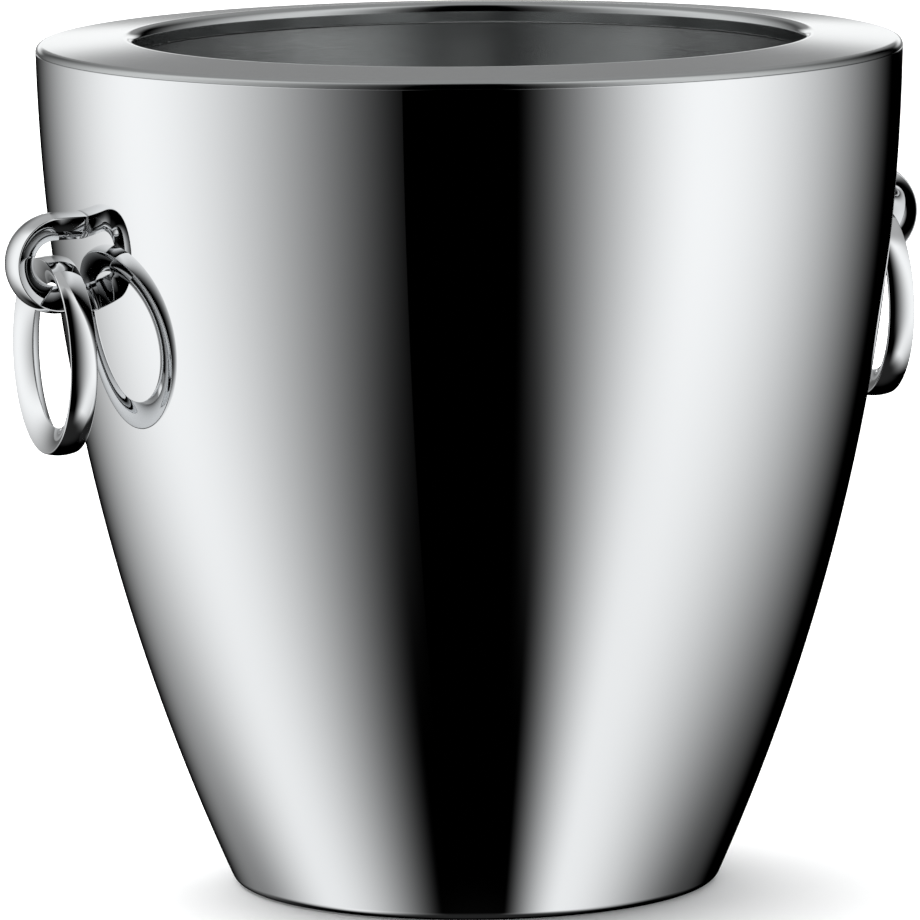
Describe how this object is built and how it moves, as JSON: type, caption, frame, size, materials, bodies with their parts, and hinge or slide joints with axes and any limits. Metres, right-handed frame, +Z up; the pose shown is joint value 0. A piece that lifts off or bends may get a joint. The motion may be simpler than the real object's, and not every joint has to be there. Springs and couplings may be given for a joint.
{
  "type": "champagne bucket",
  "caption": "Double-walled polished steel champagne bucket with a broad flat rim, curved tapering wall, and a ring handle hanging from an arched lug on each side.",
  "frame": {"origin": "middle of the foot's underside, on the surface the bucket stands on", "axes": "+Z up through the mouth, +X towards the right lug, handles along X, -Y towards the side seen with the left handle nearer"},
  "size_m": [0.2664, 0.23, 0.2273],
  "materials": {
    "mirror_steel": "mirror-polished stainless steel",
    "ring_steel": "mirror-polished stainless steel",
    "satin_rim": "fine satin stainless steel",
    "liner_steel": "finely brushed stainless steel",
    "base_steel": "spun stainless steel with concentric lines",
    "plated_hardware": "zinc-plated steel",
    "rest_plastic": "moulded polypropylene",
    "plug_rubber": "black rubber"
  },
  "bodies": {
    "bucket": {"outer_shell": "mirror_steel", "left_lug": "mirror_steel", "right_lug": "mirror_steel", "rim_ring": "satin_rim", "inner_liner": "liner_steel", "base_plate": "base_steel", "liner_rest": "rest_plastic", "vent_plug": "plug_rubber", "left_backing_plate": "plated_hardware", "right_backing_plate": "plated_hardware", "left_lug_screws": "plated_hardware", "right_lug_screws": "plated_hardware", "left_lug_washers": "plated_hardware", "right_lug_washers": "plated_hardware"},
    "left_handle": {"left_ring": "ring_steel"},
    "right_handle": {"right_ring": "ring_steel"}
  },
  "joints": [
    {"name": "left_ring_swing", "type": "hinge", "parent": "bucket", "child": "left_handle", "pos_m": [-0.12048, 0, 0.17199], "axis": [0.0958, 0.9954, 0], "range_deg": [-10, 170]},
    {"name": "right_ring_swing", "type": "hinge", "parent": "bucket", "child": "right_handle", "pos_m": [0.12048, 0, 0.17199], "axis": [-0.1564, -0.9877, 0], "range_deg": [-10, 170]}
  ]
}
